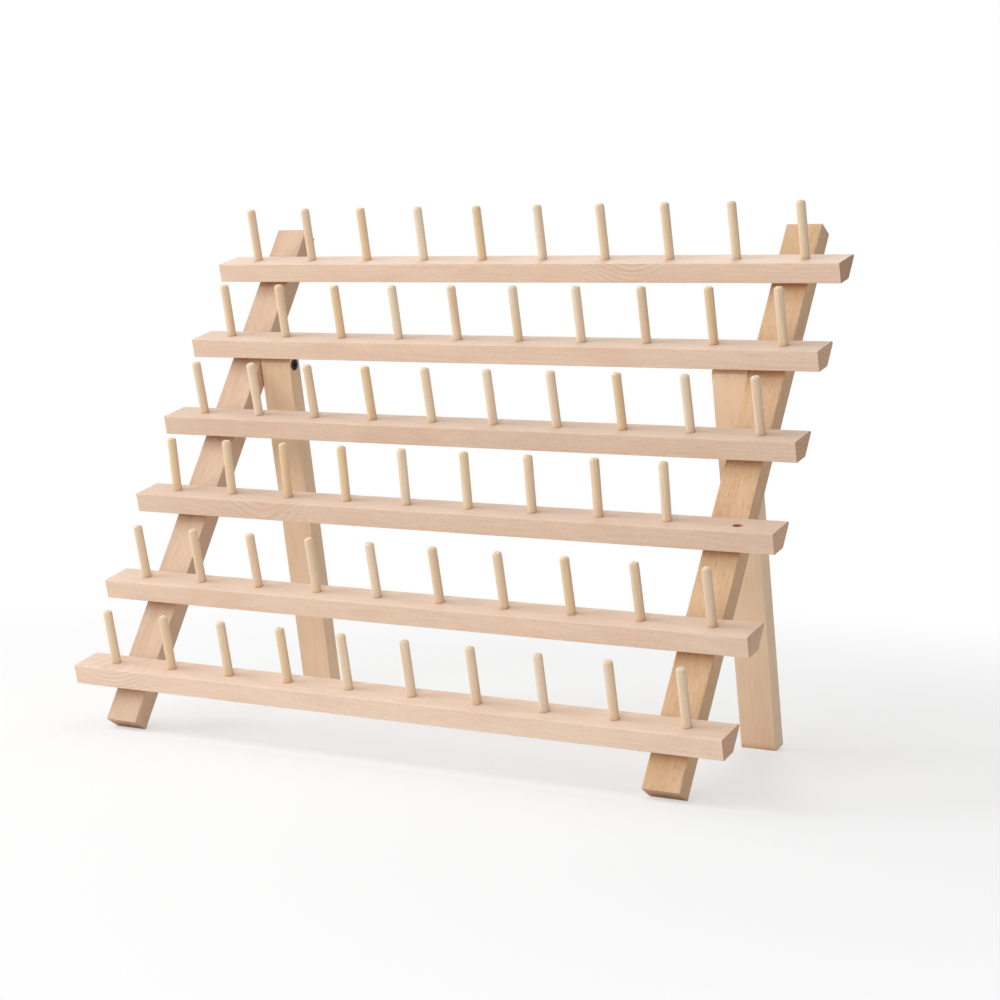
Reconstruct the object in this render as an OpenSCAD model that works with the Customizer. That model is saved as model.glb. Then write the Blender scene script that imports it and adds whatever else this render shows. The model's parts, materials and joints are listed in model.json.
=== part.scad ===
// Folding thread spool rack.
// Six bevelled rails of pegs sit on the front of two uprights that lean back.
// Two legs, one inboard of each upright, swing on a screw and fold flat beside the uprights.
// Millimetres, +Z up, +X along the rails, the pegs towards -Y.
// The origin is on the floor, under the middle of the standing rack's box.

/* [Pegs] */
// Diameter of a peg
peg_d = 5.1; // [4:0.1:8]
// Length of a peg above its rail
peg_out = 31.5; // [20:0.5:60]
// Depth of a peg in its rail
peg_in = 7; // [4:0.5:8]
// Narrowing of a peg's radius at its buried end, so that it drives in
peg_taper = 0.25; // [0.1:0.05:0.5]
// Rounding of a peg's tip
peg_tip_r = 1.6; // [0.3:0.1:1.8]
// Distance from peg to peg along a rail
peg_pitch = 40; // [24:0.5:60]
// Pegs to a full rail
peg_count = 10; // [4:1:14]
// Distance of the pegs in front of a rail's top back edge
peg_fore = 11.8; // [10.5:0.1:13]
// Rail with an empty peg hole, counted from the top, 0 for none
empty_row = 4; // [0:1:6]
// Peg hole left empty on that rail, counted from the left
empty_hole = 10; // [1:1:14]
// Widening of the empty hole's mouth, torn when its peg came out
torn_mouth = 0.6; // [0.1:0.1:1]

/* [Rails] */
// Width of a rail's top face, front to back
rail_w = 22; // [18:0.2:30]
// Height of a rail's front face
rail_h = 11; // [8.5:0.1:14]
// Tilt of the rails' top faces, down towards the front
rail_tilt = 16; // [8:0.1:18]
// Distance from rail to rail up the uprights
rail_pitch = 53.3; // [45:0.1:80]
// Rail left beyond the end pegs
rail_end = 23.2; // [8:0.1:40]

/* [Uprights] */
// Width of an upright, along the rails
upright_w = 21; // [18:0.5:30]
// Thickness of an upright, front to back
upright_t = 11; // [9:0.1:16]
// Lean of the uprights, back from the vertical
upright_lean = 29; // [22:0.1:32]
// Distance from the foot of an upright to the top back edge of the lowest rail
foot_len = 40; // [25:0.5:80]
// Length of an upright above the top back edge of the highest rail
head_len = 18; // [5:0.5:40]
// Distance of an upright's middle inboard of the end pegs
upright_in = 9.8; // [8:0.1:14]

/* [Legs] */
// Width of a leg, along the rails
leg_w = 21; // [14:0.5:30]
// Lean of the open legs, forward from the vertical
leg_lean = 13.8; // [8:0.1:20]
// Distance of the hinge below the second rail's lower back edge
hinge_drop = 4.1; // [3:0.1:10]

/* [Screws] */
// Diameter of a hinge screw's shank
hinge_d = 4.2; // [3.5:0.1:5]
// Diameter of a hinge screw's countersunk head
hinge_head_d = 6.7; // [6:0.1:9]
// Depth of a hinge screw in its upright
hinge_bite = 15; // [10:0.5:16]
// Diameter of a rail screw's shank
rail_screw_d = 3; // [2.5:0.1:3.5]
// Diameter of a rail screw's countersunk head
rail_head_d = 6; // [5:0.1:7]
// Depth of a rail screw in its rail
rail_bite = 5; // [4:0.1:6]
// Height of a rail screw above the rail's lower back edge
rail_screw_up = 3.5; // [2.5:0.1:4.5]

/* [Fits and edges] */
// Rounding of the long edges
edge_r = 0.5; // [0.2:0.1:1]
// Rounding of a rail's sharp top back edge
arris_r = 1; // [0.3:0.1:1.5]
// Room round a glued peg at the mouth of its hole, and all round a driven screw
glue_gap = 0.05; // [0.02:0.01:0.1]
// Room all round a hinge screw's shank in its leg
turn_gap = 0.05; // [0.02:0.01:0.1]
// Room round a countersunk head at its rim
head_gap = 0.25; // [0.1:0.05:0.5]
// Room between a leg and its upright
side_gap = 0.3; // [0.2:0.05:1]
// Room between a folded leg and the backs of the rails
fold_gap = 0.3; // [0.2:0.05:1]
// Room between an open leg's top and the back of the second rail
stop_gap = 0.2; // [0.1:0.05:0.5]

/* [Hidden] */
$fn = 48;
ROWS = 6;
LEFT = -1;
RIGHT = 1;
// Rail that stops the opening legs, counted from the top
STOP_ROW = 2;
// Distance of each rail above its even place, top row first
ROW_RISE = [-0.5, 0, 0.7, 2.5, 0, -0.4];
// Lean of each row's pegs beyond square to their rail: the fourth row stands steeper than the others
ROW_LEAN = [0, 0, 1, -4.5, 1, 0];
// Height above the rail at which a peg has its full diameter
PEG_SHOULDER = 0.3;
// Flats along a rounded edge
EDGE_FLATS = 5;
// Overshoot of a cut past the face that it opens
CUT = 1;
SLOT_SHARE = 0.6;
SLOT_W_SHARE = 0.14;
SLOT_DEEP_SHARE = 0.13;

RAIL_WOOD = [0.86, 0.74, 0.63];
PEG_WOOD = [0.89, 0.77, 0.61];
UPRIGHT_WOOD = [0.84, 0.68, 0.50];
LEG_WOOD = [0.82, 0.66, 0.49];
BLACK_STEEL = [0.08, 0.07, 0.07];
BRIGHT_STEEL = [0.72, 0.72, 0.70];

// Angle between an open leg and its upright
open_angle = upright_lean + leg_lean;
// Angle between a rail's back and its front, and the height of its back
bevel = upright_lean + rail_tilt;
rail_back = rail_h / cos(bevel);

rail_len = (peg_count - 1) * peg_pitch + 2 * rail_end;
upright_len = foot_len + (ROWS - 1) * rail_pitch + head_len;
upright_x = (peg_count - 1) * peg_pitch / 2 - upright_in;
leg_t = upright_t - 2 * fold_gap;
leg_x = upright_x - upright_w / 2 - side_gap - leg_w / 2;
leg_inner_x = leg_x - leg_w / 2;

// Places along an upright, measured up its front face from its foot
function rail_at(row) = foot_len + (ROWS - row) * rail_pitch + ROW_RISE[row - 1];
function rail_screw_at(row) = rail_at(row) - rail_back + rail_screw_up;
hinge_at = rail_at(STOP_ROW) - rail_back - hinge_drop;

// Height of the hinge and its distance behind the upright's heel, which stands on the floor
hinge_z = hinge_at * cos(upright_lean) + upright_t / 2 * sin(upright_lean);
hinge_y = hinge_at * sin(upright_lean) - upright_t / 2 * cos(upright_lean);

// An open leg stands on its front lower edge, and its top is cut along the rail's back
leg_reach = (hinge_z - leg_t / 2 * sin(leg_lean)) / cos(leg_lean);
leg_top = (upright_t + leg_t * cos(open_angle)) / 2 / sin(open_angle);

// The box runs from the lowest row's peg tips to the legs' rear lower edges
low_lean = rail_tilt + ROW_LEAN[ROWS - 1];
low_rail_y = rail_at(ROWS) * sin(upright_lean) - upright_t * cos(upright_lean);
low_peg_y = low_rail_y - peg_fore * cos(rail_tilt);
tip_ring = peg_d / 2 - peg_tip_r;
box_front = low_peg_y - (peg_out - peg_tip_r) * sin(low_lean) - tip_ring * cos(low_lean) - peg_tip_r;
box_rear = hinge_y + leg_reach * sin(leg_lean) + leg_t / 2 * cos(leg_lean);
heel_y = -(box_front + box_rear) / 2;

function peg_x(hole) = (hole - (peg_count + 1) / 2) * peg_pitch;
function has_peg(row, hole) = row != empty_row || hole != empty_hole;

// Points round corner b of an outline, between its neighbours a and c
function eased_corner(a, b, c, r) =
    let (
        to_a = (a - b) / norm(a - b),
        to_c = (c - b) / norm(c - b),
        half = acos(to_a * to_c) / 2,
        middle = b + (to_a + to_c) / norm(to_a + to_c) * r / sin(half),
        first = b + to_a * r / tan(half) - middle,
        last = b + to_c * r / tan(half) - middle
    )
    [for (i = [0 : EDGE_FLATS])
        let (arm = first + (last - first) * i / EDGE_FLATS)
        middle + arm * r / norm(arm)];

// A convex outline with every corner rounded, the first with a rounding of its own
function eased(outline, first_r = edge_r) =
    let (n = len(outline))
    [for (i = [0 : n - 1])
        let (r = i == 0 ? first_r : edge_r)
        each eased_corner(outline[(i + n - 1) % n], outline[i], outline[(i + 1) % n], r)];

// Turns what is made for the right side into the left side's
module on_side(side) {
    mirror([side == LEFT ? 1 : 0, 0, 0]) children();
}

// Upright's own frame: z up its front face from the foot, y to the rear
module on_upright(up) {
    translate([0, heel_y, 0])
        rotate([-upright_lean, 0, 0])
            translate([0, -upright_t, up])
                children();
}

// Rail's own frame: origin on its top back edge, z square to its top face, y to the rear
module on_rail(row) {
    on_upright(rail_at(row))
        rotate([bevel, 0, 0])
            children();
}

// Peg's own frame: origin where its axis meets the rail's top face, z along the peg
module at_hole(row, hole) {
    translate([peg_x(hole), -peg_fore, 0])
        rotate([ROW_LEAN[row - 1], 0, 0])
            children();
}

// Open leg's own frame, on the right: origin on the hinge axis, z up the leg, y to the rear
module on_leg() {
    translate([0, heel_y + hinge_y, hinge_z])
        rotate([leg_lean, 0, 0])
            children();
}

// Hinge screw's own frame, on the right: z out of its head, towards the middle of the rack
module on_hinge() {
    translate([leg_inner_x, heel_y + hinge_y, hinge_z])
        rotate([0, -90, 0])
            children();
}

// Rail screw's own frame, on the right: z out of its head, to the rear
module on_rail_screw(row) {
    on_upright(rail_screw_at(row))
        translate([upright_x, upright_t, 0])
            rotate([-90, 0, 0])
                children();
}

// A square stick along z with its long edges eased
module stick(w, t, low, high) {
    translate([0, 0, low])
        linear_extrude(high - low)
            polygon(eased([[-w, -t] / 2, [w, -t] / 2, [w, t] / 2, [-w, t] / 2]));
}

// A countersunk wood screw below z = 0, with a cross slot in its head
module wood_screw(d, head_d, length) {
    difference() {
        rotate_extrude()
            polygon([
                [0, 0],
                [head_d / 2, 0],
                [d / 2, (d - head_d) / 2],
                [d / 2, d - length],
                [0, -length]
            ]);
        for (turn = [0, 90])
            rotate([0, 0, turn])
                cube([head_d * SLOT_SHARE, head_d * SLOT_W_SHARE, head_d * SLOT_DEEP_SHARE * 2],
                     center = true);
    }
}

// The hole for a countersunk screw: its shank's room all round, and its head's at the rim
module screw_hole(d, head_d, length, room) {
    rim_r = head_d / 2 + head_gap;
    hole_r = d / 2 + room;
    translate([0, 0, -length - room])
        cylinder(r = hole_r, h = length + room + CUT);
    translate([0, 0, hole_r - rim_r])
        cylinder(r1 = hole_r, r2 = rim_r + CUT, h = rim_r - hole_r + CUT);
}

module rail_screw_hole(row) {
    on_rail_screw(row)
        screw_hole(rail_screw_d, rail_head_d, upright_t + rail_bite, glue_gap);
}

module upright(side) {
    color(UPRIGHT_WOOD)
        on_side(side)
            difference() {
                on_upright(0)
                    translate([upright_x, upright_t / 2, 0])
                        stick(upright_w, upright_t, 0, upright_len);
                for (row = [1 : ROWS])
                    rail_screw_hole(row);
                on_hinge()
                    screw_hole(hinge_d, hinge_head_d, leg_w + side_gap + hinge_bite, glue_gap);
            }
}

module peg_hole() {
    translate([0, 0, -peg_in])
        cylinder(d = peg_d, h = peg_in + CUT);
}

module empty_peg_hole() {
    r = peg_d / 2;
    peg_hole();
    translate([0, 0, -torn_mouth])
        cylinder(r1 = r, r2 = r + torn_mouth + CUT, h = torn_mouth + CUT);
}

module rail(row) {
    color(RAIL_WOOD)
        difference() {
            on_rail(row)
                difference() {
                    rotate([90, 0, 90])
                        linear_extrude(rail_len, center = true)
                            polygon(eased([
                                [0, 0],
                                [-rail_w, 0],
                                [-rail_w, -rail_h],
                                [-rail_h * tan(bevel), -rail_h]
                            ], arris_r));
                    for (hole = [1 : peg_count])
                        at_hole(row, hole)
                            if (has_peg(row, hole)) peg_hole();
                            else empty_peg_hole();
                }
            for (side = [LEFT, RIGHT])
                on_side(side) rail_screw_hole(row);
        }
}

module peg() {
    r = peg_d / 2;
    rotate_extrude()
        polygon(concat(
            [
                [0, -peg_in],
                [r - peg_taper, -peg_in],
                [r - glue_gap, PEG_SHOULDER],
                [r, PEG_SHOULDER]
            ],
            [for (turn = [0 : 15 : 90])
                [r - peg_tip_r, peg_out - peg_tip_r] + peg_tip_r * [cos(turn), sin(turn)]],
            [[0, peg_out]]
        ));
}

module pegs(row) {
    color(PEG_WOOD)
        on_rail(row)
            for (hole = [1 : peg_count])
                if (has_peg(row, hole))
                    at_hole(row, hole) peg();
}

module leg(side) {
    color(LEG_WOOD)
        on_side(side)
            difference() {
                on_leg()
                    translate([leg_x, 0, 0])
                        stick(leg_w, leg_t, -leg_reach, leg_top);
                on_upright(hinge_at)
                    translate([leg_inner_x - CUT, stop_gap - upright_t, -leg_top])
                        cube([leg_w + 2 * CUT, upright_t, 3 * leg_top]);
                on_hinge()
                    screw_hole(hinge_d, hinge_head_d, leg_w + CUT, turn_gap);
            }
}

module hinge_screw(side) {
    color(BLACK_STEEL)
        on_side(side)
            on_hinge()
                wood_screw(hinge_d, hinge_head_d, leg_w + side_gap + hinge_bite);
}

module rail_screws(side) {
    color(BRIGHT_STEEL)
        on_side(side)
            for (row = [1 : ROWS])
                on_rail_screw(row)
                    wood_screw(rail_screw_d, rail_head_d, upright_t + rail_bite);
}

upright(LEFT);  // left_upright
upright(RIGHT);  // right_upright
rail(1);  // rail_1
rail(2);  // rail_2
rail(3);  // rail_3
rail(4);  // rail_4
rail(5);  // rail_5
rail(6);  // rail_6
pegs(1);  // pegs_1
pegs(2);  // pegs_2
pegs(3);  // pegs_3
pegs(4);  // pegs_4
pegs(5);  // pegs_5
pegs(6);  // pegs_6
leg(LEFT);  // left_leg
leg(RIGHT);  // right_leg
hinge_screw(LEFT);  // left_hinge_screw
hinge_screw(RIGHT);  // right_hinge_screw
rail_screws(LEFT);  // left_rail_screws
rail_screws(RIGHT);  // right_rail_screws
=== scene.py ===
# %% [markdown]
# # A folding thread rack in bare beech
#
# The rack is made of two leaning uprights, six bevelled rails, fifty-nine pegs and two rear legs
# that swing on black screws. The construction arrives as a imported model whose pieces are already at
# their real size and in their real place. What is left for Blender is what the eye reads as wood:
# softened arrises, growth rings, flecks, end grain, and a quiet studio to see them in.
#
# The imported model is loaded first, and its box is kept.

# %% Load the rack
import json
import math

import bpy
from mathutils import Matrix, Vector


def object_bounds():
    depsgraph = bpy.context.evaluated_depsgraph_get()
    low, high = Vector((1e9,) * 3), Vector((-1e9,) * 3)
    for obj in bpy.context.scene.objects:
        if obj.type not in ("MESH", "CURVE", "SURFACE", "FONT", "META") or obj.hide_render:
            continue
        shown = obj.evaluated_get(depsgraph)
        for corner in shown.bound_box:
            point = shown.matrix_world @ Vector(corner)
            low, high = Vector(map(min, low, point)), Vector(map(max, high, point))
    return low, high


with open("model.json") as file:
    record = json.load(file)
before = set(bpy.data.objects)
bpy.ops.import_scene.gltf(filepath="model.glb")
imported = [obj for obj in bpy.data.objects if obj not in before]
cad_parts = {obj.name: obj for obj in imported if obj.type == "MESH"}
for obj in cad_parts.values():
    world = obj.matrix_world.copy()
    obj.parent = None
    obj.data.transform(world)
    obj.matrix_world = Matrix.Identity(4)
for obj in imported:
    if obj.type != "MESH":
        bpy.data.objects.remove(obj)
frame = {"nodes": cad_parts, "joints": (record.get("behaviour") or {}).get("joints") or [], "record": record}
nodes = frame["nodes"]
cad_box = [list(corner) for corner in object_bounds()]
print("pieces in the rack:", len(nodes), "box in metres:", cad_box)

# %% [markdown]
# ## The camera
#
# The rack is seen from its right front corner, from only a little above the table, with a long
# lens. A camera could be pointed with a Track To constraint, but that can't hold the slight roll of
# a hand-held shot, so the three axes of the camera are worked out from three angles and put straight
# into its matrix.

# %% Camera
CAMERA_PLACE = Vector((0.6562, -1.0616, 0.2200))
CAMERA_AROUND = math.radians(30.72)
CAMERA_ABOVE = math.radians(3.89)
CAMERA_ROLL = math.radians(1.11)
CAMERA_LENS_MM = 81.15
SENSOR_MM = 36.0


def new_object(name, data):
    """An object that shows this data, linked into the scene."""
    made = bpy.data.objects.new(name, data)
    bpy.context.scene.collection.objects.link(made)
    return made


def direction(around, above):
    """A unit vector from the rack, turned to the right of its front and raised above the table."""
    level = math.cos(above)
    return Vector((math.sin(around) * level, -math.cos(around) * level, math.sin(above)))


def camera_axes(around, above, roll):
    """The camera's right, up and backward axes."""
    back = direction(around, above)
    level_right = Vector((math.cos(around), math.sin(around), 0))
    level_up = back.cross(level_right)
    right = level_right * math.cos(roll) + level_up * math.sin(roll)
    return right, back.cross(right), back


lens = bpy.data.cameras.new("camera")
lens.sensor_fit = "HORIZONTAL"
lens.sensor_width = SENSOR_MM
lens.lens = CAMERA_LENS_MM
camera = new_object("camera", lens)
axes = camera_axes(CAMERA_AROUND, CAMERA_ABOVE, CAMERA_ROLL)
camera.matrix_world = Matrix.Translation(CAMERA_PLACE) @ Matrix(axes).transposed().to_4x4()
bpy.context.scene.camera = camera
print("camera to the middle of the floor:", round(CAMERA_PLACE.length, 3), "m")

# %% [markdown]
# ## The lamps
#
# A small wooden object looks best in broad light. One sun lamp would be simpler, but it draws hard
# shadows that hide the joints. So a large square lamp at the left front models the round pegs, a
# weaker one in front opens the shade under the rails, a small one overhead brightens the tops of the
# rails, and one above and behind the rack drops the pegs' soft shadows towards the viewer. They are
# set so that a colour renders about as it is written.

# %% Lamps
RACK_MIDDLE = (Vector(cad_box[0]) + Vector(cad_box[1])) / 2


def soft_lamp(name, around, above, distance, side, watts):
    """A square lamp that faces the middle of the rack, placed by two angles in degrees."""
    light = bpy.data.lights.new(name, "AREA")
    light.shape = "SQUARE"
    light.size = side
    light.energy = watts
    lamp = new_object(name, light)
    towards = direction(math.radians(around), math.radians(above))
    lamp.location = RACK_MIDDLE + towards * distance
    lamp.rotation_euler = towards.to_track_quat("Z", "Y").to_euler()
    return lamp


lamps = [
    soft_lamp("left_lamp", around=-65, above=32, distance=1.6, side=1.0, watts=13.2),
    soft_lamp("front_lamp", around=2, above=25, distance=1.3, side=0.7, watts=5.0),
    soft_lamp("top_lamp", around=0, above=78, distance=1.3, side=0.6, watts=2.2),
    soft_lamp("rear_lamp", around=195, above=62, distance=1.25, side=0.35, watts=3.2),
]
print("lamps:", [(lamp.name, round(lamp.data.energy, 1), "W") for lamp in lamps])

# %% [markdown]
# ## Adding nodes
#
# Every surface from here on is a small graph of shader nodes. Blender makes a node in one call, sets
# its options in others and wires it in others again, so one helper does all three: an input is either
# a plain value or the output of an earlier node.

# %% Node helpers
def feed(tree, socket, value):
    """Gives an input a plain value, or wires it to the output of another node."""
    if isinstance(value, bpy.types.NodeSocket):
        tree.links.new(value, socket)
    else:
        socket.default_value = value


def add(tree, kind, inputs=None, **options):
    """Adds a node, sets its options and feeds its inputs."""
    made = tree.nodes.new(kind)
    for option, value in options.items():
        setattr(made, option, value)
    for socket, value in (inputs or {}).items():
        feed(tree, made.inputs[socket], value)
    return made


def maths(tree, operation, first, second=0.0, clamp=False):
    """The output of one sum."""
    inputs = {0: first, 1: second}
    return add(tree, "ShaderNodeMath", inputs, operation=operation, use_clamp=clamp).outputs[0]


print("helpers:", [helper.__name__ for helper in (feed, add, maths)])

# %% [markdown]
# ## The white room and the table
#
# A white room fills what the lamps leave dark, and the table fades into it. Lighting both to white
# would burn out the pale wood. Instead, for the rays that come straight from the camera, or by way of
# a mirror, the room and the table are mixed with plain white. Near the rack only half is mixed into
# the table, so the rack's shadow stays.

# %% White room
ROOM_LIGHT = 0.395
WHITE = (1, 1, 1, 1)


def shown_rays(tree):
    """1 for the rays whose background the viewer sees, 0 for the rays that only carry light."""
    path = add(tree, "ShaderNodeLightPath").outputs
    mirrored = maths(tree, "MAXIMUM", path["Is Glossy Ray"], path["Is Transmission Ray"])
    return maths(tree, "MAXIMUM", path["Is Camera Ray"], mirrored)


def white_room():
    """A world that lights evenly and shows white."""
    world = bpy.data.worlds.new("white_room")
    world.use_nodes = True
    tree = world.node_tree
    tree.nodes.clear()
    light = add(tree, "ShaderNodeBackground", {"Color": WHITE, "Strength": ROOM_LIGHT})
    white = add(tree, "ShaderNodeBackground", {"Color": WHITE, "Strength": 1.0})
    shown = shown_rays(tree)
    both = add(tree, "ShaderNodeMixShader", {0: shown, 1: light.outputs[0], 2: white.outputs[0]})
    add(tree, "ShaderNodeOutputWorld", {"Surface": both.outputs[0]})
    return world


bpy.context.scene.world = white_room()
bpy.context.scene.view_settings.view_transform = "Standard"
print("light of the room:", ROOM_LIGHT)

# %% Table
FLOOR_REACH = 4.0
FLOOR_GREY = (0.88, 0.88, 0.88, 1)
FLOOR_SHADE = 0.5  # the share of white near the rack
SHADE_NEAR = 0.30  # from here, in metres, the share rises
SHADE_FAR = 0.75  # and from here the table is white


def ramp(tree, value, low, high, out_low=0.0, out_high=1.0):
    """A soft step from out_low at low to out_high at high. Low may be the larger of the two."""
    inputs = {"Value": value, "From Min": low, "From Max": high, "To Min": out_low, "To Max": out_high}
    return add(tree, "ShaderNodeMapRange", inputs, interpolation_type="SMOOTHSTEP").outputs["Result"]


def length(tree, vector):
    """How long a vector is."""
    return add(tree, "ShaderNodeVectorMath", {0: vector}, operation="LENGTH").outputs["Value"]


def new_material(name):
    """A material with an empty graph, and the graph."""
    material = bpy.data.materials.new(name)
    material.use_nodes = True
    material.node_tree.nodes.clear()
    return material, material.node_tree


def pale_floor():
    """A plain pale table top that fades to white away from the rack."""
    material, tree = new_material("pale_floor")
    far = length(tree, add(tree, "ShaderNodeTexCoord").outputs["Object"])
    whiteness = ramp(tree, far, SHADE_NEAR, SHADE_FAR, FLOOR_SHADE, 1.0)
    share = maths(tree, "MULTIPLY", whiteness, shown_rays(tree))
    matt = add(tree, "ShaderNodeBsdfDiffuse", {"Color": FLOOR_GREY})
    white = add(tree, "ShaderNodeEmission", {"Color": WHITE, "Strength": 1.0})
    both = add(tree, "ShaderNodeMixShader", {0: share, 1: matt.outputs[0], 2: white.outputs[0]})
    add(tree, "ShaderNodeOutputMaterial", {"Surface": both.outputs[0]})
    return material


floor_corners = [(x * FLOOR_REACH, y * FLOOR_REACH, 0) for x, y in ((-1, -1), (1, -1), (1, 1), (-1, 1))]
floor_mesh = bpy.data.meshes.new("floor")
floor_mesh.from_pydata(floor_corners, [], [(0, 1, 2, 3)])
floor_mesh.materials.append(pale_floor())
floor = new_object("floor", floor_mesh)
print("table:", 2 * FLOOR_REACH, "m square")

# %% [markdown]
# ## Where a point lies in its stick
#
# Wood is the same stuff all through, so its figure is drawn as a solid pattern that each face cuts.
# That needs one thing from every stick: the place of a point in millimetres, measured along the
# grain and over it. A shared group turns the piece's own coordinates until the grain runs along X
# and moves them to a place of its own in the log, so no two sticks repeat. It also tells the faces
# that are cut across the grain, by how far they face along it.

# %% Group: place in the stick
MM = 1000.0
VALUE = "NodeSocketFloat"
VECTOR = "NodeSocketVector"
COLOUR = "NodeSocketColor"
CUT_FACING = (0.6, 0.95)  # how squarely a long face and a sawn end look along the grain


def new_group(name, inputs, outputs):
    """An empty shader group, the sockets that feed it and the sockets that it fills."""
    group = bpy.data.node_groups.new(name, "ShaderNodeTree")
    for title, kind, value in inputs:
        socket = group.interface.new_socket(name=title, in_out="INPUT", socket_type=kind)
        socket.default_value = value
    for title, kind in outputs:
        group.interface.new_socket(name=title, in_out="OUTPUT", socket_type=kind)
    return group, add(group, "NodeGroupInput").outputs, add(group, "NodeGroupOutput").inputs


def place_in_stick():
    """A group that measures along the grain of a stick and over it, and finds its sawn ends."""
    group, given, gives = new_group(
        "place_in_stick",
        [("Turn", VECTOR, (0, 0, 0)), ("Place in Log", VECTOR, (0, 0, 0))],
        [("Place", VECTOR), ("Cross Cut", VALUE)])
    seen = add(group, "ShaderNodeTexCoord").outputs
    place = add(group, "ShaderNodeMapping", {
        "Vector": seen["Object"], "Rotation": given["Turn"], "Scale": (MM, MM, MM),
        "Location": given["Place in Log"]}, vector_type="POINT")
    facing = add(group, "ShaderNodeMapping", {
        "Vector": seen["Normal"], "Rotation": given["Turn"]}, vector_type="VECTOR")
    along = add(group, "ShaderNodeSeparateXYZ", {0: facing.outputs[0]}).outputs["X"]
    feed(group, gives["Place"], place.outputs[0])
    feed(group, gives["Cross Cut"], ramp(group, maths(group, "ABSOLUTE", along), *CUT_FACING))
    return group


PLACE_IN_STICK = place_in_stick()
print("group:", PLACE_IN_STICK.name, [socket.name for socket in PLACE_IN_STICK.interface.items_tree])

# %% [markdown]
# ## Beech: the growth rings
#
# Plain beech is pinkish and quiet, with faint growth rings. An image could hold them, but it would
# have to be bent round each stick, and its end grain would never meet its long grain. Here the rings
# are the distance from the heart of the log, pushed about by slow noise and a little taper, so a
# face that lies along them opens into the arches that a board shows. Close to a knot they are pushed
# further and marked darker, which makes a swirl.

# %% Beech: growth rings
OVER_GRAIN = (0, 1, 1)
TAPER = 0.02
WANDER_MM = 9.0
WANDER_GRAIN = (110, 16)  # the size of the noise in mm, along the grain and over it
LULL_GRAIN = (60, 9)  # in a lull the rings fade out
LULL_DETAIL = 1.0
LULL_RANGE = (0.3, 0.7)
SWIRL_REACH_MM = 45.0
LATE_RISE = (0.25, 0.9)  # the part of a year in which the wood darkens
LATE_FALL = (1.0, 0.93)  # and the part in which it turns pale again


def vectors(tree, operation, first, second):
    """The output of one sum on vectors."""
    return add(tree, "ShaderNodeVectorMath", {0: first, 1: second}, operation=operation).outputs["Vector"]


def stretched(tree, place, along, across):
    """A place squeezed so that one unit is along mm with the grain and across mm over it."""
    return vectors(tree, "MULTIPLY", place, (1 / along, 1 / across, 1 / across))


def noise(tree, place, scale=1.0, detail=2.0, roughness=0.5):
    """Soft noise, from 0 to 1."""
    inputs = {"Vector": place, "Scale": scale, "Detail": detail, "Roughness": roughness}
    return add(tree, "ShaderNodeTexNoise", inputs).outputs["Fac"]


def growth_rings(group, given):
    """The late wood of each year, and how much of it shows on a long face and on a sawn end."""
    place = given["Place"]
    along = add(group, "ShaderNodeSeparateXYZ", {0: place}).outputs["X"]
    off_knot = maths(group, "ABSOLUTE", maths(group, "SUBTRACT", along, given["Swirl Place"]))
    near_knot = ramp(group, off_knot, SWIRL_REACH_MM, 0.0)
    wander = noise(group, stretched(group, place, *WANDER_GRAIN))
    pushed = length(group, vectors(group, "MULTIPLY", place, OVER_GRAIN))
    for push, amount in ((along, TAPER), (wander, WANDER_MM), (near_knot, given["Swirl"])):
        pushed = maths(group, "ADD", pushed, maths(group, "MULTIPLY", push, amount))
    year = maths(group, "FRACT", maths(group, "DIVIDE", pushed, given["Ring Width"]))
    late = maths(group, "MULTIPLY", ramp(group, year, *LATE_RISE), ramp(group, year, *LATE_FALL))
    lull = noise(group, stretched(group, place, *LULL_GRAIN), detail=LULL_DETAIL)
    drawn = maths(group, "MULTIPLY", ramp(group, lull, *LULL_RANGE), given["Rings"])
    marked = maths(group, "MULTIPLY", near_knot, given["Swirl Mark"])
    on_face = maths(group, "MULTIPLY", late, maths(group, "ADD", drawn, marked), clamp=True)
    on_end = maths(group, "MULTIPLY", late, given["Cut Rings"])
    return late, on_face, on_end


print("rings wander by up to", WANDER_MM, "mm")

# %% [markdown]
# ## Beech: fibres, flecks and blush
#
# Short brown flecks, the cut ends of the rays, tell beech from maple or birch. Scattering them as
# small dark pieces would take thousands. Here they are the cells of a Voronoi texture, drawn out
# along the grain, of which only some are coloured. Between them run fine fibres, and some stretches
# of a board blush pinker than others: both are noise stretched along the grain. Each stick says how
# long its fibres and flecks are.

# %% Beech: fibres, flecks and blush
FIBRE_DETAIL = 3.0
FIBRE_ROUGHNESS = 0.6
STREAK_RANGE = (0.3, 0.75)
FLECK_SHAPE = (0.42, 0.18)  # how far from a cell's middle a fleck ends, and is full
FLECK_CHOICE = (0.4, 0.65)  # a cell whose chance is below the first stays plain
BLUSH_GRAIN = (45, 10)
BLUSH_RANGE = (0.4, 0.68)


def fibres(group, given):
    """The fine fibres, and how much of the deep colour they bring."""
    spun = vectors(group, "DIVIDE", given["Place"], given["Fibre Size"])
    fibre = noise(group, spun, detail=FIBRE_DETAIL, roughness=FIBRE_ROUGHNESS)
    return fibre, maths(group, "MULTIPLY", ramp(group, fibre, *STREAK_RANGE), given["Fibres"])


def ray_flecks(group, given):
    """The cut ends of the rays, and how much of their brown shows."""
    sized = vectors(group, "DIVIDE", given["Place"], given["Fleck Size"])
    cells = add(group, "ShaderNodeTexVoronoi", {"Vector": sized, "Scale": 1.0}).outputs
    chance = add(group, "ShaderNodeSeparateColor", {0: cells["Color"]}).outputs["Red"]
    shape = ramp(group, cells["Distance"], *FLECK_SHAPE)
    dash = maths(group, "MULTIPLY", shape, ramp(group, chance, *FLECK_CHOICE))
    return dash, maths(group, "MULTIPLY", dash, given["Flecks"])


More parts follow.
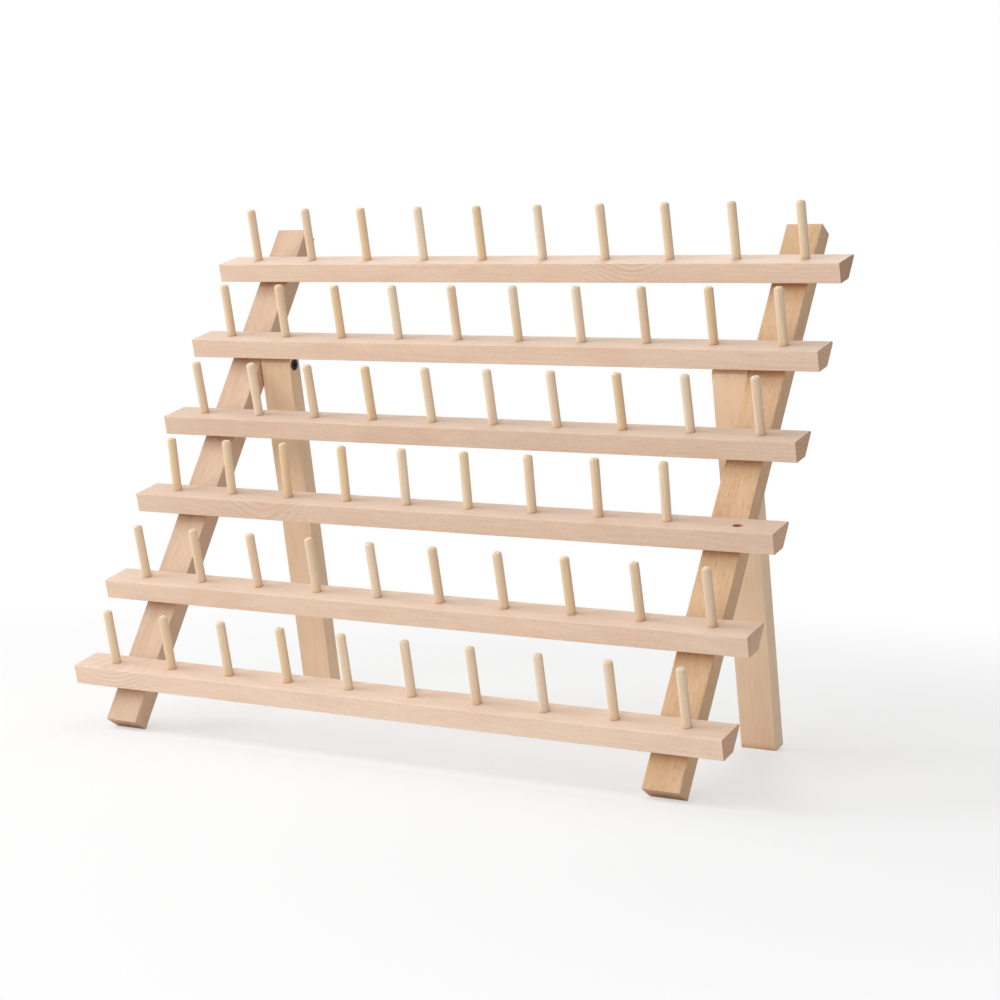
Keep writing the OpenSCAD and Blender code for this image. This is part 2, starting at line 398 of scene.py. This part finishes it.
def blushes(group, given):
    """How much pinker a stretch of the board is."""
    patch = noise(group, stretched(group, given["Place"], *BLUSH_GRAIN))
    return maths(group, "MULTIPLY", ramp(group, patch, *BLUSH_RANGE), given["Blushing"])


print("marks of beech:", [mark.__name__ for mark in (growth_rings, fibres, ray_flecks, blushes)])

# %% [markdown]
# ## Beech: the finished wood
#
# Rails, pegs, uprights and legs are all beech. A material for each could be wired by hand, but then
# they would drift apart, so the marks go into one group whose inputs are the colours of a board and
# how strongly each mark shows. The group also puts out a height and a roughness made from the same
# marks, so what looks like a pore catches the light like one.

# %% Group: beech
LATE_DEPTH = 0.4
ROUGH_PORES = 0.2
ROUGH_FACE = 0.4
ROUGH_END = 0.15
BOARD_COLOURS = ("Pale", "Deep", "Blush", "Fleck", "End Grain")
BEECH_AMOUNTS = [
    ("Ring Width", VALUE, 3.0), ("Rings", VALUE, 0.5), ("Cut Rings", VALUE, 0.5),
    ("Fibres", VALUE, 0.3), ("Fibre Size", VECTOR, (24, 0.7, 0.7)),
    ("Flecks", VALUE, 0.5), ("Fleck Size", VECTOR, (3, 0.5, 0.5)), ("Blushing", VALUE, 0.5),
    ("Swirl", VALUE, 0.0), ("Swirl Place", VALUE, 0.0), ("Swirl Mark", VALUE, 0.0)]


def mixed(tree, share, first, second):
    """The second colour laid over the first. A mix node keeps its colours in inputs 6 and 7."""
    return add(tree, "ShaderNodeMix", {0: share, 6: first, 7: second}, data_type="RGBA").outputs[2]


def beech_group():
    """A group that turns a place in a stick into the colour, roughness and relief of beech."""
    group, given, gives = new_group(
        "beech",
        [("Place", VECTOR, (0, 0, 0)), ("Cross Cut", VALUE, 0.0)]
        + [(colour, COLOUR, WHITE) for colour in BOARD_COLOURS] + BEECH_AMOUNTS,
        [("Colour", COLOUR), ("Roughness", VALUE), ("Height", VALUE)])
    late, ring, cut_ring = growth_rings(group, given)
    fibre, streak = fibres(group, given)
    dash, fleck = ray_flecks(group, given)

    face = mixed(group, ring, given["Pale"], given["Deep"])
    face = mixed(group, blushes(group, given), face, given["Blush"])
    face = mixed(group, streak, face, given["Deep"])
    sawn = mixed(group, cut_ring, given["End Grain"], given["Fleck"])
    colour = mixed(group, given["Cross Cut"], face, sawn)
    feed(group, gives["Colour"], mixed(group, fleck, colour, given["Fleck"]))

    pores = maths(group, "SUBTRACT", fibre, dash)
    sunk = maths(group, "MULTIPLY", late, LATE_DEPTH)
    feed(group, gives["Height"], maths(group, "SUBTRACT", pores, sunk))
    rough_face = maths(group, "ADD", maths(group, "MULTIPLY", fibre, ROUGH_PORES), ROUGH_FACE)
    rough_end = maths(group, "MULTIPLY", given["Cross Cut"], ROUGH_END)
    feed(group, gives["Roughness"], maths(group, "ADD", rough_face, rough_end))
    return group


BEECH = beech_group()
print("group:", BEECH.name, "nodes:", len(BEECH.nodes))

# %% [markdown]
# ## Painted shade in inner corners
#
# Where two sticks meet, shade falls, and that shade is painted into the wood as a warm brown:
# under the rails, round the foot of each peg, at the head of a leg. The corner could be painted stick
# by stick, but an ambient occlusion node finds it everywhere: it tells how much of a small dome round
# a point is free of other wood.

# %% Group: painted corner shade
CORNER_REACH = 0.006
CORNER_SAMPLES = 8
CORNER_FREE = (0.75, 0.25)  # the free share of the dome where the painted shade starts, and is full
UNEVEN_SCALE = 250.0
UNEVEN_RANGE = (0.1, 0.7)
UNEVEN_BROWN = (0.35, 0.7)  # the least and the most painted shade of a full corner


def painted_corner_shade():
    """A group that paints shade, as brown, into the corners where sticks meet."""
    group, _, gives = new_group("painted_corner_shade", [], [("Brown", VALUE)])
    dome = add(group, "ShaderNodeAmbientOcclusion", {"Distance": CORNER_REACH}, samples=CORNER_SAMPLES)
    # painted shade: the less of the dome is free of wood, the browner the corner
    corner = ramp(group, dome.outputs["AO"], *CORNER_FREE)
    uneven = noise(group, add(group, "ShaderNodeTexCoord").outputs["Object"], UNEVEN_SCALE)
    uneven_shade = ramp(group, uneven, *UNEVEN_RANGE, *UNEVEN_BROWN)
    feed(group, gives["Brown"], maths(group, "MULTIPLY", corner, uneven_shade))
    return group


PAINTED_CORNER_SHADE = painted_corner_shade()
print("group:", PAINTED_CORNER_SHADE.name, "reach in mm:", CORNER_REACH * MM)

# %% [markdown]
# ## One stick's finish
#
# All the wooden pieces are bare and sanded, so they share one recipe and differ in their colours,
# in the way their grain runs and in where they were sawn from the log. Sanding leaves a fuzz of
# raised fibres that catches light at the edge of a round peg, and the shader's sheen is meant for
# that. Shade painted as brown into the inner corners lies over the wood, and the shade painted into
# the torn hole lies over both. Colours are written as they look on a screen, from 0 to 255, and
# turned into the linear values that a shader mixes with.

# %% Recipe for bare wood
GRAIN_DEPTH = 0.00012
FUZZ_SPREAD = 0.35


def screen(red, green, blue):
    """A colour written as it looks on a screen, as linear red, green, blue and alpha."""
    linear = []
    for share in (red / 255, green / 255, blue / 255):
        linear.append(share / 12.92 if share <= 0.04045 else ((share + 0.055) / 1.055) ** 2.4)
    return linear + [1.0]


# painted shade: the warm brown that stands for the shade in inner corners
CORNER_SHADE_BROWN = screen(184, 122, 74)
# painted shade: the brown that stands for the shade on the wall of the empty hole
HOLE_SHADE_BROWN = screen(168, 104, 60)


def use_group(tree, group, inputs):
    """A shared group placed in a material with its own values."""
    return add(tree, "ShaderNodeGroup", inputs, node_tree=group).outputs


def bare_wood(tree, turn, log_place, colours, amounts, hole_shade=None, shine=0.15, fuzz=0.6, bump=0.3):
    """Wires the beech group to a shader with a sanded surface and a fuzz of raised fibres, with shade
    painted into the inner corners and, where given, into a torn hole.
    """
    stick = use_group(tree, PLACE_IN_STICK, {"Turn": turn, "Place in Log": log_place})
    wood = use_group(tree, BEECH, {
        "Place": stick["Place"], "Cross Cut": stick["Cross Cut"], **colours, **amounts})
    # painted shade: the inner corners are darkened to a warm brown
    corner = use_group(tree, PAINTED_CORNER_SHADE, {})
    colour = mixed(tree, corner["Brown"], wood["Colour"], CORNER_SHADE_BROWN)
    # painted shade on the wall and torn mouth of the empty hole
    if hole_shade is not None:
        colour = mixed(tree, hole_shade, colour, HOLE_SHADE_BROWN)
    relief = add(tree, "ShaderNodeBump", {
        "Height": wood["Height"], "Strength": bump, "Distance": GRAIN_DEPTH})
    shader = add(tree, "ShaderNodeBsdfPrincipled", {
        "Base Color": colour, "Roughness": wood["Roughness"],
        "Specular IOR Level": shine, "Sheen Weight": fuzz, "Sheen Roughness": FUZZ_SPREAD,
        "Normal": relief.outputs["Normal"]})
    add(tree, "ShaderNodeOutputMaterial", {"Surface": shader.outputs["BSDF"]})


print("grain relief:", round(GRAIN_DEPTH * MM, 2), "mm")

# %% [markdown]
# ## Painted shade in the torn hole
#
# The fourth rail has lost a peg, and the mouth of the hole is torn. Shade is painted into the hole:
# its wall and the torn mouth are coloured brown. A dark disc could stand for that, but a mask by the
# distance from the hole's axis colours the wall itself, and is right from every side. The place of the
# hole and the way it leans needn't be typed in: the imported record lists it, with the end pegs of
# each row, as a place where something fits.

# %% Painted shade in the torn hole
TORN_RAIL = "rail_4"
TORN_EDGE_MM = (3.6, 3.0)  # where the painted shade ends and where it is full, raggedness included
RAGGED_SCALE = 0.9
ACROSS_HOLE = (1, 1, 0)

mounts = {mount["name"]: mount for mount in frame["record"]["mounts"]}


def lean_of(mount):
    """How far a peg or a hole leans to the front."""
    _, to_rear, up = mounts[mount]["axis"]
    return math.atan2(-to_rear, up)


HOLE_LEAN = lean_of("empty_peg_hole")
HOLE_PLACE_MM = Matrix.Rotation(-HOLE_LEAN, 3, "X") @ Vector(mounts["empty_peg_hole"]["pos_m"]) * MM


def painted_hole_shade(tree):
    """1 where shade is painted on the wall of the empty hole, fading out over its torn mouth."""
    place = add(tree, "ShaderNodeMapping", {
        "Vector": add(tree, "ShaderNodeTexCoord").outputs["Object"],
        "Rotation": (-HOLE_LEAN, 0, 0), "Scale": (MM, MM, MM)}, vector_type="POINT").outputs[0]
    from_hole = vectors(tree, "SUBTRACT", place, HOLE_PLACE_MM)
    radius = length(tree, vectors(tree, "MULTIPLY", from_hole, ACROSS_HOLE))
    ragged = noise(tree, place, RAGGED_SCALE)
    return ramp(tree, maths(tree, "ADD", radius, ragged), *TORN_EDGE_MM)


print("the hole leans by", round(math.degrees(HOLE_LEAN), 1), "degrees")

# %% [markdown]
# ## The rails
#
# Six sticks ripped from one pinkish board. Their long edges were eased by the moulding cutter, and
# their ends were sawn square and only touched with sandpaper, so the end grain is darker. One material
# would do for all, but then they would match too well, so each has a place in the log and a tone of
# its own, and three that lay close to a knot show a swirl. The pegs of the top row stand square on
# their rail, so their lean is the tilt of the rails.

# %% Rail wood
RAIL_TILT = lean_of("peg_row_1_left")
RAIL_SHINE = 0.3
RAIL_BOARD = {"Pale": (232, 206, 183), "Deep": (211, 178, 152), "Blush": (225, 191, 169),
              "Fleck": (182, 138, 106), "End Grain": (215, 171, 136)}
RAIL_AMOUNTS = {"Ring Width": 2.4, "Rings": 0.25, "Fibres": 0.4, "Fibre Size": (14, 0.8, 0.8),
                "Flecks": 0.3, "Fleck Size": (2.4, 0.5, 0.5), "Blushing": 0.5}
KNOT_AMOUNTS = {"Swirl": 11.0, "Swirl Mark": 0.6}
# Tones are in screen steps, and a knot's place is in mm to the right of the rack's middle.
RAILS = {
    "rail_1": {"log_place": (310, 46, 71), "tone": 0, "end_tone": -27, "knot_at": 80},
    "rail_2": {"log_place": (1240, 92, 38), "tone": 0, "end_tone": 5},
    "rail_3": {"log_place": (2110, -64, 83), "tone": -7, "end_tone": -5},
    "rail_4": {"log_place": (3170, 30, -95), "tone": -4, "end_tone": 10, "knot_at": -112},
    "rail_5": {"log_place": (4260, -88, -41), "tone": 3, "end_tone": 10},
    "rail_6": {"log_place": (5330, 57, 66), "tone": 7, "end_tone": -4, "knot_at": -178},
}


def toned(colour, step):
    """A screen colour made lighter or darker by a few steps."""
    return screen(*(value + step for value in colour))


def toned_board(board, step):
    """The colours of a board, all made lighter or darker alike."""
    return {part: toned(colour, step) for part, colour in board.items()}


def rail_wood(rail):
    """The material of one rail."""
    material, tree = new_material(rail + "_beech")
    own = RAILS[rail]
    colours = toned_board(RAIL_BOARD, own["tone"])
    colours["End Grain"] = toned(RAIL_BOARD["End Grain"], own["end_tone"])
    amounts = dict(RAIL_AMOUNTS)
    if "knot_at" in own:
        amounts |= KNOT_AMOUNTS | {"Swirl Place": own["log_place"][0] + own["knot_at"]}
    # painted shade: only the fourth rail gets shade painted into its empty hole
    hole_shade = painted_hole_shade(tree) if rail == TORN_RAIL else None
    bare_wood(tree, (-RAIL_TILT, 0, 0), own["log_place"], colours, amounts, hole_shade, RAIL_SHINE)
    return material


for rail in RAILS:
    nodes[rail].data.materials[0] = rail_wood(rail)
print("rails dressed:", len(RAILS), "tilted by", round(math.degrees(RAIL_TILT), 1), "degrees")

# %% [markdown]
# ## The pegs
#
# Bought dowel, cut short and tumbled until the tips were round. Dowel comes from many boards, so
# the pegs beside each other differ: some are cream, some straw, some rosy. A material for each peg
# would make fifty-nine, and a row is one piece. Instead the peg's number along the row is found from
# its place, and a noise of that number picks the tint and the part of the log.

# %% Peg wood
PEG_ROWS = range(1, 7)
PEGS_IN_ROW = 10
ROW_STEP = 20.0  # keeps the numbers of one row's pegs apart from the next row's
PEG_CREAM = screen(238, 222, 200)
PEG_STRAW = screen(230, 202, 162)
PEG_ROSE = screen(231, 207, 180)
PEG_COLOURS = {"Deep": screen(206, 170, 128), "Blush": PEG_STRAW, "Fleck": screen(176, 134, 92),
               "End Grain": screen(238, 220, 194)}
PEG_AMOUNTS = {"Ring Width": 2.2, "Rings": 0.35, "Fibres": 0.3, "Fibre Size": (24, 0.7, 0.7),
               "Flecks": 0.12, "Fleck Size": (2.4, 0.4, 0.4), "Blushing": 0.25}
LOG_SPREAD = (900, 60, 60)  # in mm
ROSY_CHOICE = (0.55, 0.85)  # a peg whose chance is above the second is fully rosy
PEG_BUMP = 0.2
QUARTER_TURN = math.radians(90)

row_length = mounts["peg_row_1_right"]["pos_m"][0] - mounts["peg_row_1_left"]["pos_m"][0]
peg_pitch = row_length / (PEGS_IN_ROW - 1)


def peg_wood(row):
    """The material of one row of pegs, with a tint for each peg."""
    material, tree = new_material(f"pegs_{row}_dowel")
    place = add(tree, "ShaderNodeTexCoord").outputs["Object"]
    across = add(tree, "ShaderNodeSeparateXYZ", {0: place}).outputs["X"]
    number = maths(tree, "FLOOR", maths(tree, "DIVIDE", across, peg_pitch))
    draw = maths(tree, "ADD", number, ROW_STEP * row)
    chance = add(tree, "ShaderNodeTexWhiteNoise", {"W": draw}, noise_dimensions="1D").outputs
    log_place = vectors(tree, "MULTIPLY", chance["Color"], LOG_SPREAD)
    second_chance = add(tree, "ShaderNodeSeparateColor", {0: chance["Color"]}).outputs["Green"]
    plain = mixed(tree, chance["Value"], PEG_CREAM, PEG_STRAW)
    tint = mixed(tree, ramp(tree, second_chance, *ROSY_CHOICE), plain, PEG_ROSE)
    turn = (-lean_of(f"peg_row_{row}_left"), QUARTER_TURN, 0)
    bare_wood(tree, turn, log_place, {"Pale": tint, **PEG_COLOURS}, PEG_AMOUNTS, bump=PEG_BUMP)
    return material


for row in PEG_ROWS:
    nodes[f"pegs_{row}"].data.materials[0] = peg_wood(row)
print("peg rows dressed:", len(PEG_ROWS), "pitch:", round(peg_pitch * MM, 1), "mm")

# %% [markdown]
# ## The uprights and the legs
#
# The four sticks of the stand came from three boards. The left upright is rosy and calm, the right
# one amber with short brown dashes that run up it, and the legs are a paler and plainer tan. The
# grain runs along each stick, so only its turn differs: an upright leans back, an open leg forward.
# Both angles can be read from the record: the rows of pegs climb along the uprights, and a folding
# leg turns until it lies along its upright.

# %% Lean of the uprights and legs
folds = {joint["name"]: joint["range_deg"] for joint in frame["joints"]}
climb = Vector(mounts["peg_row_1_left"]["pos_m"]) - Vector(mounts["peg_row_6_left"]["pos_m"])
UPRIGHT_LEAN = math.atan2(climb.y, climb.z)
LEG_LEAN = math.radians(max(folds["left_leg_fold"])) - UPRIGHT_LEAN
print("uprights lean back", round(math.degrees(UPRIGHT_LEAN), 1), "degrees,",
      "legs forward", round(math.degrees(LEG_LEAN), 1))

# %% Upright and leg wood
STAND_FUZZ = 0.2
ROSY = {"Pale": (221, 193, 168), "Deep": (200, 163, 132), "Blush": (214, 181, 154),
        "Fleck": (176, 132, 100), "End Grain": (215, 184, 158)}
AMBER = {"Pale": (225, 192, 155), "Deep": (201, 156, 114), "Blush": (217, 176, 136),
         "Fleck": (166, 113, 72), "End Grain": (218, 183, 148)}
TAN = {"Pale": (232, 203, 172), "Deep": (213, 178, 144), "Blush": (227, 194, 162),
       "Fleck": (194, 150, 110), "End Grain": (222, 188, 154)}
DASHED = {"Ring Width": 3.2, "Rings": 0.2, "Fibres": 0.4, "Fibre Size": (7, 1, 1),
          "Flecks": 0.3, "Fleck Size": (5.5, 0.9, 0.9), "Blushing": 0.55}
CALM = DASHED | {"Fibres": 0.3, "Flecks": 0.18}
PLAIN = {"Ring Width": 3.2, "Rings": 0.25, "Fibres": 0.35, "Fibre Size": (16, 0.9, 0.9),
         "Flecks": 0.08, "Fleck Size": (5, 0.8, 0.8), "Blushing": 0.55}
STAND = {
    "left_upright": {"log_place": (900, 52, 64), "board": ROSY, "tone": -8, "marks": CALM},
    "right_upright": {"log_place": (2300, -70, 45), "board": AMBER, "tone": -5, "marks": DASHED},
    "left_leg": {"log_place": (3800, 41, -80), "board": TAN, "tone": 3, "marks": PLAIN},
    "right_leg": {"log_place": (5200, -58, -62), "board": TAN, "tone": 17, "marks": PLAIN},
}


def stand_wood(piece):
    """The material of one upright or leg."""
    material, tree = new_material(piece + "_beech")
    own = STAND[piece]
    colours = toned_board(own["board"], own["tone"])
    lean = UPRIGHT_LEAN if piece.endswith("upright") else -LEG_LEAN
    turn = (lean, QUARTER_TURN, 0)
    bare_wood(tree, turn, own["log_place"], colours, own["marks"], fuzz=STAND_FUZZ)
    return material


for piece in STAND:
    nodes[piece].data.materials[0] = stand_wood(piece)
print("uprights and legs dressed:", len(STAND))

# %% [markdown]
# ## The screws
#
# The legs swing on black screws and the rails are held from behind by plated ones. Both are steel
# with a thin coat, so one group gives both the uneven gloss and the faint mottling of a coat that
# was tumbled in a barrel, and each material keeps its own metal. The black ones are oiled, which is
# a clear coat over the metal. A plain grey would do from afar, but the heads are seen close from
# behind.

# %% Group: tumbled coat
CLOUD_SCALE = 700.0
CLOUD_DETAIL = 4.0
SPECK_SCALE = 3500.0
RUBBED_RANGE = (0.52, 0.75)


def tumbled_coat():
    """A group that gives a thin metal coat its mottling, its uneven gloss and its specks."""
    group, given, gives = new_group(
        "tumbled_coat",
        [("Coat", COLOUR, WHITE), ("Rubbed", COLOUR, WHITE), ("Smooth", VALUE, 0.3), ("Dull", VALUE, 0.5)],
        [("Colour", COLOUR), ("Roughness", VALUE), ("Height", VALUE)])
    place = add(group, "ShaderNodeTexCoord").outputs["Object"]
    cloud = noise(group, place, CLOUD_SCALE, CLOUD_DETAIL)
    rubbed = ramp(group, cloud, *RUBBED_RANGE)
    feed(group, gives["Colour"], mixed(group, rubbed, given["Coat"], given["Rubbed"]))
    span = maths(group, "SUBTRACT", given["Dull"], given["Smooth"])
    duller = maths(group, "MULTIPLY", cloud, span)
    feed(group, gives["Roughness"], maths(group, "ADD", given["Smooth"], duller))
    feed(group, gives["Height"], noise(group, place, SPECK_SCALE))
    return group


TUMBLED_COAT = tumbled_coat()
print("group:", TUMBLED_COAT.name, "nodes:", len(TUMBLED_COAT.nodes))

# %% Screw metals
COAT_DEPTH = 0.00002
COAT_BUMP = 0.3
OIL_SHINE = 0.12


def screw_metal(name, coat, rubbed, smooth, dull, oil):
    """A coated steel, with a film of oil over it."""
    material, tree = new_material(name)
    surface = use_group(tree, TUMBLED_COAT, {
        "Coat": coat, "Rubbed": rubbed, "Smooth": smooth, "Dull": dull})
    relief = add(tree, "ShaderNodeBump", {
        "Height": surface["Height"], "Strength": COAT_BUMP, "Distance": COAT_DEPTH})
    shader = add(tree, "ShaderNodeBsdfPrincipled", {
        "Base Color": surface["Colour"], "Roughness": surface["Roughness"], "Metallic": 1.0,
        "Coat Weight": oil, "Coat Roughness": OIL_SHINE, "Normal": relief.outputs["Normal"]})
    add(tree, "ShaderNodeOutputMaterial", {"Surface": shader.outputs["BSDF"]})
    return material


black_steel = screw_metal(
    "black_steel", screen(30, 27, 27), screen(58, 54, 52), smooth=0.3, dull=0.55, oil=0.15)
bright_steel = screw_metal(
    "bright_steel", screen(196, 196, 192), screen(222, 221, 214), smooth=0.2, dull=0.42, oil=0.0)
for side in ("left", "right"):
    nodes[side + "_hinge_screw"].data.materials[0] = black_steel
    nodes[side + "_rail_screws"].data.materials[0] = bright_steel
print("screw metals:", black_steel.name, bright_steel.name)

# %% [markdown]
# ## Eased ends and hole mouths
#
# A saw leaves an arris that would cut a finger, and sandpaper takes it off. The long edges are
# rounded already; the ends and the mouths of the holes are still sharp. A bevel modifier that acts
# only on steep edges rounds those. Before it, a weld joins the corners that the file keeps apart
# and a planar decimate merges the triangles of each flat face, so the bevel runs evenly.

# %% Ease the sharp edges
EASED = 0.0003  # in metres, as the model is
EASE_STEPS = 3
WELD_REACH = 0.000002
FLAT_ANGLE = math.radians(0.4)
STEEP_ANGLE = math.radians(55)


def ease(piece):
    """Rounds the sharp edges of a piece, and leaves its mesh data as it came."""
    weld = piece.modifiers.new("weld", "WELD")
    weld.merge_threshold = WELD_REACH
    flats = piece.modifiers.new("flats", "DECIMATE")
    flats.decimate_type = "DISSOLVE"
    flats.angle_limit = FLAT_ANGLE
    bevel = piece.modifiers.new("ease", "BEVEL")
    bevel.width = EASED
    bevel.segments = EASE_STEPS
    bevel.limit_method = "ANGLE"
    bevel.angle_limit = STEEP_ANGLE
    bevel.harden_normals = True


sawn_pieces = [*RAILS, *STAND]
for name in sawn_pieces:
    ease(nodes[name])
print("eased pieces:", len(sawn_pieces))
